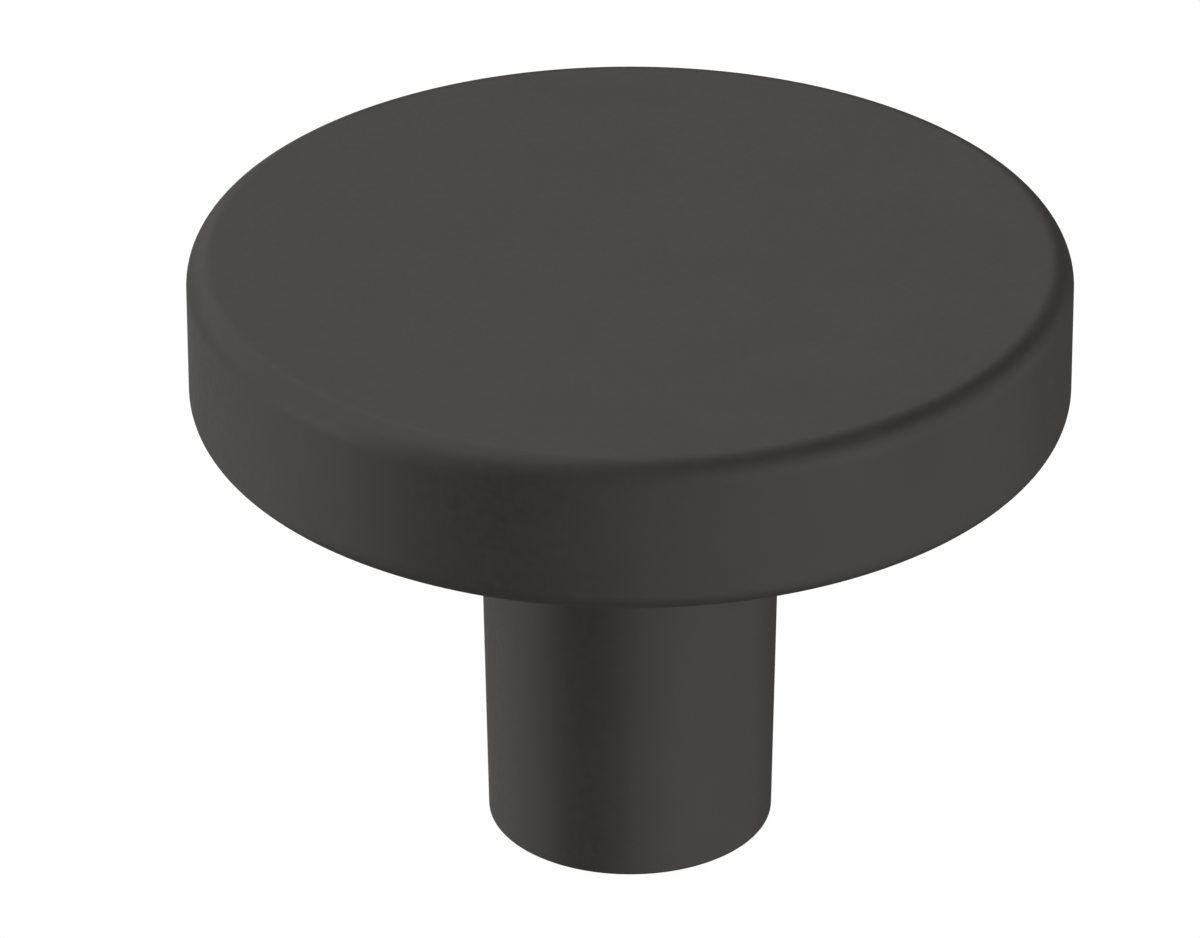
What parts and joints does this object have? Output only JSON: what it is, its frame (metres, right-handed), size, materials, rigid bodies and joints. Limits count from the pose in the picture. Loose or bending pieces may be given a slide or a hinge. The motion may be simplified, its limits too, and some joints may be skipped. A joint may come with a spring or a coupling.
{
  "type": "cabinet knob",
  "caption": "Round flat-headed cabinet knob on a tapered stem, with a tapped screw hole in its foot, for pulling a drawer or door open.",
  "frame": {"origin": "centre of the stem's foot, on the face that seats on the drawer or door", "axes": "+Z along the knob's axis, from the foot out to the head; X and Y are free, because the knob is round"},
  "size_m": [0.032, 0.032, 0.023],
  "materials": {
    "black_coat": "matte"
  },
  "bodies": {
    "root": {"knob": "black_coat"}
  },
  "joints": []
}
